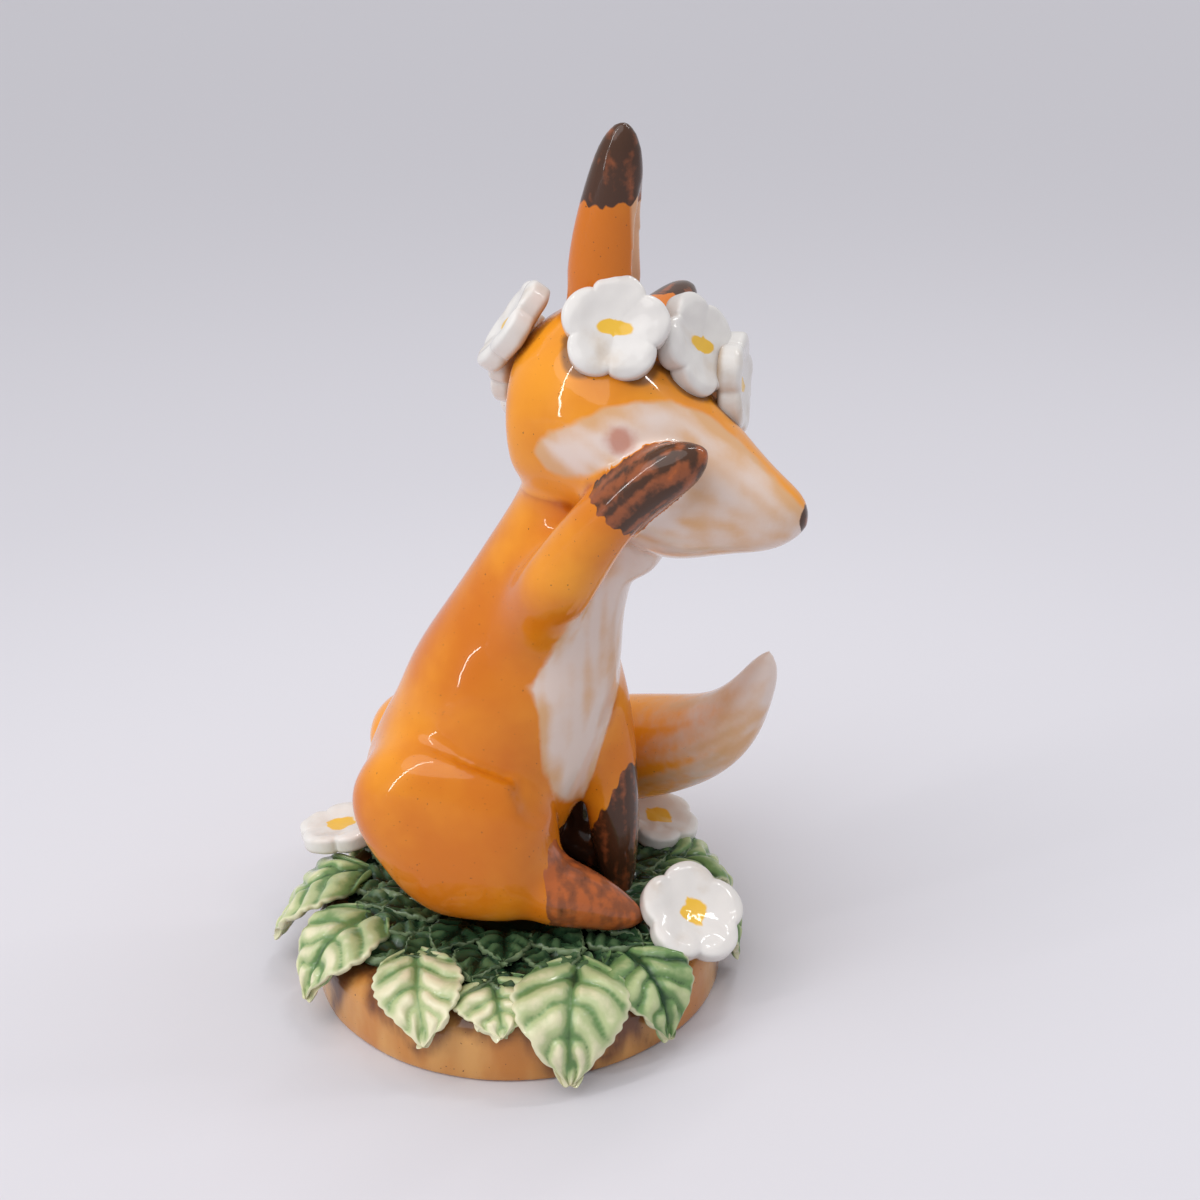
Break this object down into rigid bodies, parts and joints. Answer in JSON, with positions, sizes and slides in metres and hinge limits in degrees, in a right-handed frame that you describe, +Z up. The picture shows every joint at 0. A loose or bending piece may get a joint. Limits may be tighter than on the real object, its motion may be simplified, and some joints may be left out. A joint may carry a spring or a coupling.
{
  "type": "fox figurine",
  "caption": "Glazed ceramic fox sitting on a round leafy plinth, with a forepaw raised to its tilted head and a wreath of flowers round its ears; a shelf ornament.",
  "frame": {"origin": "centre of the plinth's flat underside, on the surface it stands on", "axes": "+X towards the front of the fox, +Y to its left side, +Z up"},
  "size_m": [0.0835, 0.0745, 0.1304],
  "materials": {
    "fox_glaze": "glossy transparent glaze over orange, cream and brown underglaze paint",
    "flower_glaze": "glossy white glaze with a yellow painted centre",
    "leaf_glaze": "glossy green glaze, pale on the ridges and dark in the veins",
    "foliage_glaze": "glossy dark green glaze",
    "plinth_glaze": "satin buff glaze with brown stains"
  },
  "bodies": {
    "root": {"base_flower_1": "flower_glaze", "base_flower_2": "flower_glaze", "base_flower_3": "flower_glaze", "crown_flower_1": "flower_glaze", "crown_flower_2": "flower_glaze", "crown_flower_3": "flower_glaze", "crown_flower_4": "flower_glaze", "crown_flower_5": "flower_glaze", "crown_flower_6": "flower_glaze", "crown_flower_7": "flower_glaze", "crown_flower_8": "flower_glaze", "crown_flower_9": "flower_glaze", "foliage_bed": "foliage_glaze", "head": "fox_glaze", "leaf_01": "leaf_glaze", "leaf_02": "leaf_glaze", "leaf_03": "leaf_glaze", "leaf_04": "leaf_glaze", "leaf_05": "leaf_glaze", "leaf_06": "leaf_glaze", "leaf_07": "leaf_glaze", "leaf_08": "leaf_glaze", "leaf_09": "leaf_glaze", "leaf_10": "leaf_glaze", "leaf_11": "leaf_glaze", "leaf_12": "leaf_glaze", "leaf_13": "leaf_glaze", "leaf_14": "leaf_glaze", "leaf_15": "leaf_glaze", "leaf_16": "leaf_glaze", "leaf_17": "leaf_glaze", "left_ear": "fox_glaze", "left_foreleg": "fox_glaze", "left_haunch": "fox_glaze", "left_hind_foot": "fox_glaze", "plinth": "plinth_glaze", "right_ear": "fox_glaze", "right_foreleg": "fox_glaze", "right_haunch": "fox_glaze", "right_hind_foot": "fox_glaze", "tail": "fox_glaze", "torso": "fox_glaze"}
  },
  "joints": []
}
